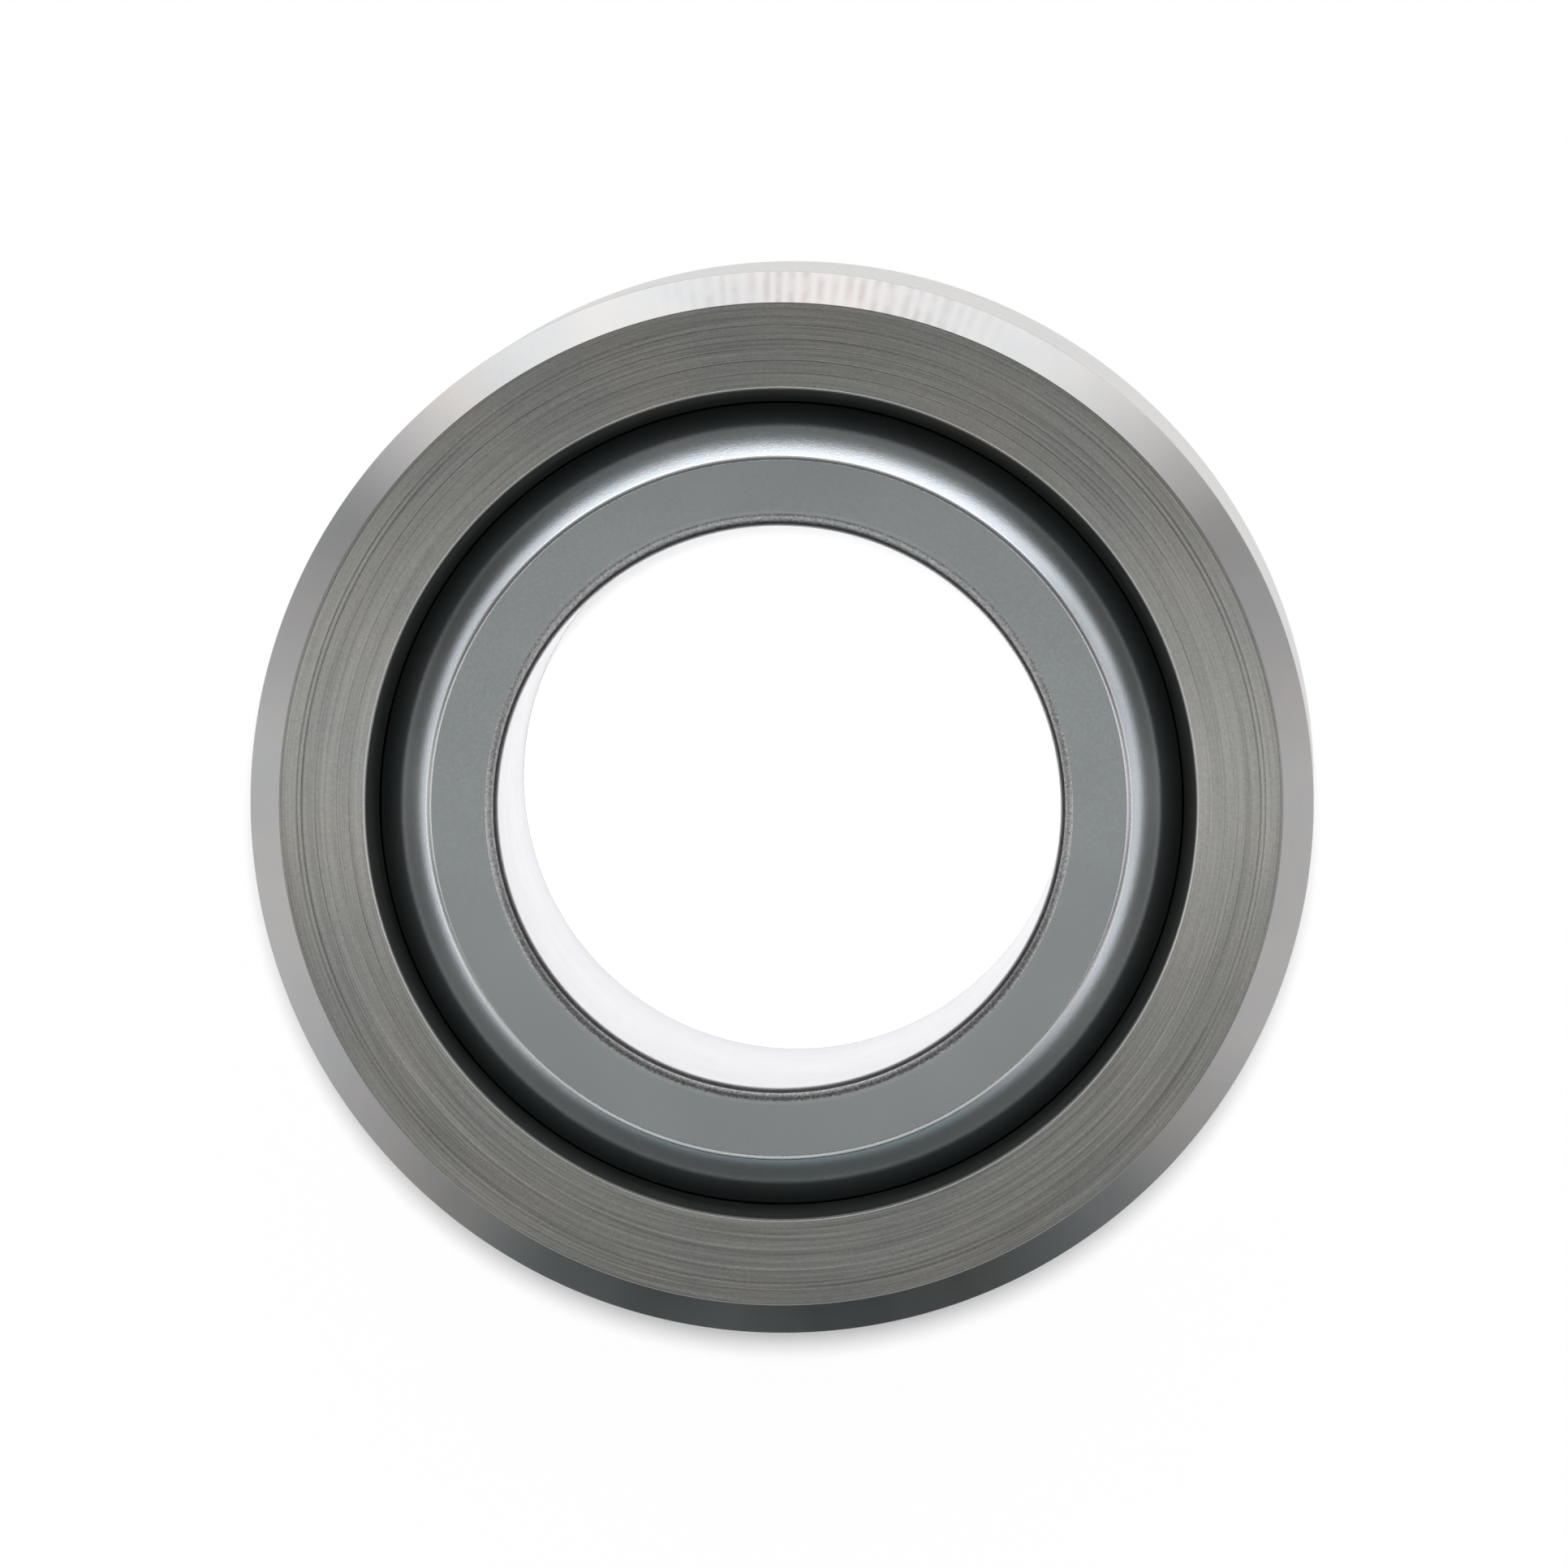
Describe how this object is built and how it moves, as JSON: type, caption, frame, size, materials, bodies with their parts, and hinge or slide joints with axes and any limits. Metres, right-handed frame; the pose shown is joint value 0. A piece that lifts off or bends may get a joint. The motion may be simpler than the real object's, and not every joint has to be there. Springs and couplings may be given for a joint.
{
  "type": "spherical plain bearing",
  "caption": "Spherical plain bearing: a truncated steel ball with a through bore, captive in a solid chamfered outer ring in which it tilts to take up shaft misalignment.",
  "frame": {"origin": "centre of the ball, midway between the faces of both rings", "axes": "+Z along the bore axis; the rings are alike on both sides, and the bearing stands on the end face of its inner ring at -Z"},
  "size_m": [0.0302, 0.0302, 0.0158],
  "materials": {
    "turned_steel": "bare turned steel, fine concentric tool marks on the faces, smoother chamfers and outside",
    "ball_steel": "satin plated ball, matt ground end faces, bright ground bore"
  },
  "bodies": {
    "outer_ring": {"outer_ring": "turned_steel"},
    "inner_ring": {"inner_ring": "ball_steel"}
  },
  "joints": [
    {"name": "inner_ring_tilt", "type": "hinge", "parent": "outer_ring", "child": "inner_ring", "pos_m": [0, 0, 0], "axis": [1, 0, 0], "range_deg": [-8.5, 8.5]}
  ]
}
